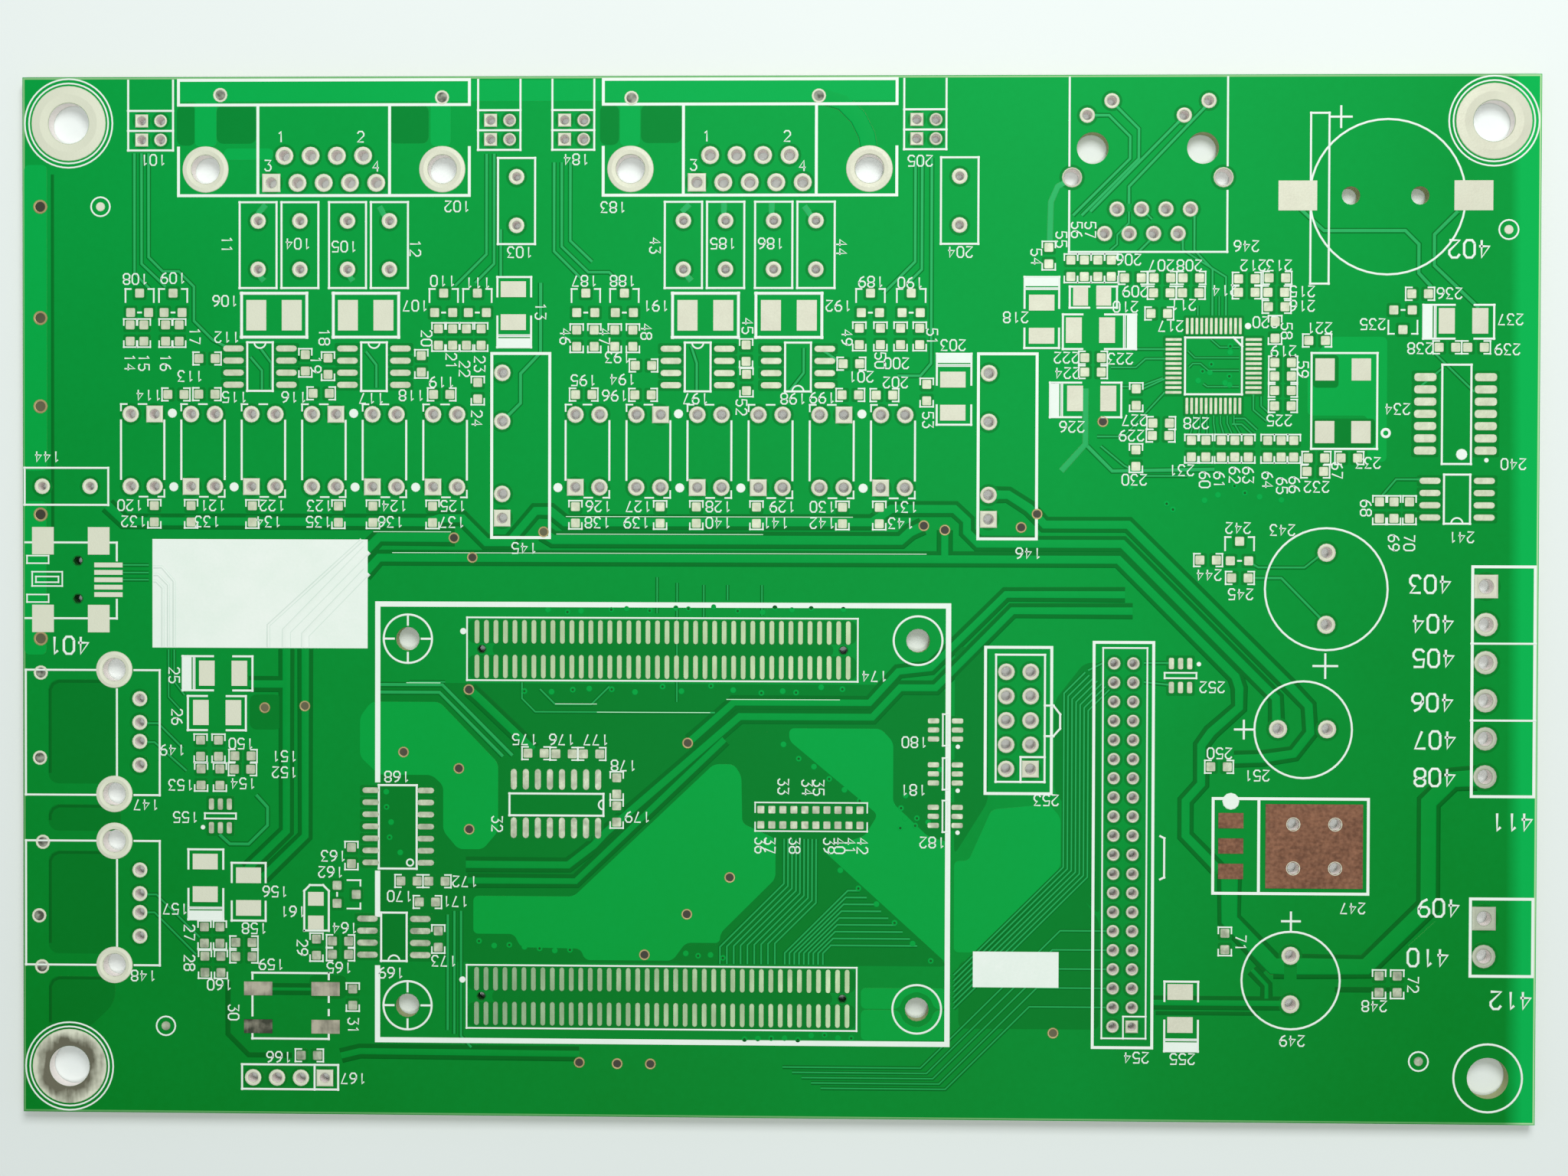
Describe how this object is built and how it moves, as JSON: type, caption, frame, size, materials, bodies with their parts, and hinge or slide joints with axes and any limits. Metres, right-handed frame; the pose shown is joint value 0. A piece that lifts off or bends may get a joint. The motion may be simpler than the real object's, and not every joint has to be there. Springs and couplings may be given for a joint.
{
  "type": "printed_circuit_board",
  "caption": "A bare green printed circuit board with tinned lands, drilled lead holes, white ink outlines and plated mounting holes at its corners",
  "frame": {"origin": "middle of the underside of the laminate, on the surface that the board lies on", "axes": "+X along the long side, +Y along the short side towards the serial ports, +Z out of the printed face"},
  "size_m": [0.1588, 0.1092, 0.0017],
  "materials": {
    "green_mask": "gloss",
    "tinned_copper": "satin",
    "bare_copper": "brushed",
    "white_ink": "matte"
  },
  "bodies": {
    "root": {"laminate": "green_mask", "corner_hole_rings": "tinned_copper", "serial_lock_rings": "tinned_copper", "port_shield_rings": "tinned_copper", "battery_clip_lands": "tinned_copper", "diode_lands": "tinned_copper", "capacitor_lands": "tinned_copper", "inductor_lands": "tinned_copper", "indicator_lands": "tinned_copper", "crystal_lands": "tinned_copper", "button_lands": "tinned_copper", "mini_port_shell_lands": "tinned_copper", "mini_port_contact_lands": "tinned_copper", "regulator_tab": "bare_copper", "regulator_lands": "bare_copper", "upper_connector_lands": "tinned_copper", "lower_connector_lands": "tinned_copper", "ink_panel": "white_ink", "small_ink_panel": "white_ink", "core_board_outline": "white_ink", "serial_port_outlines": "white_ink", "header_outlines": "white_ink", "converter_outlines": "white_ink", "regulator_outline": "white_ink", "terminal_outlines": "white_ink"}
  },
  "joints": []
}
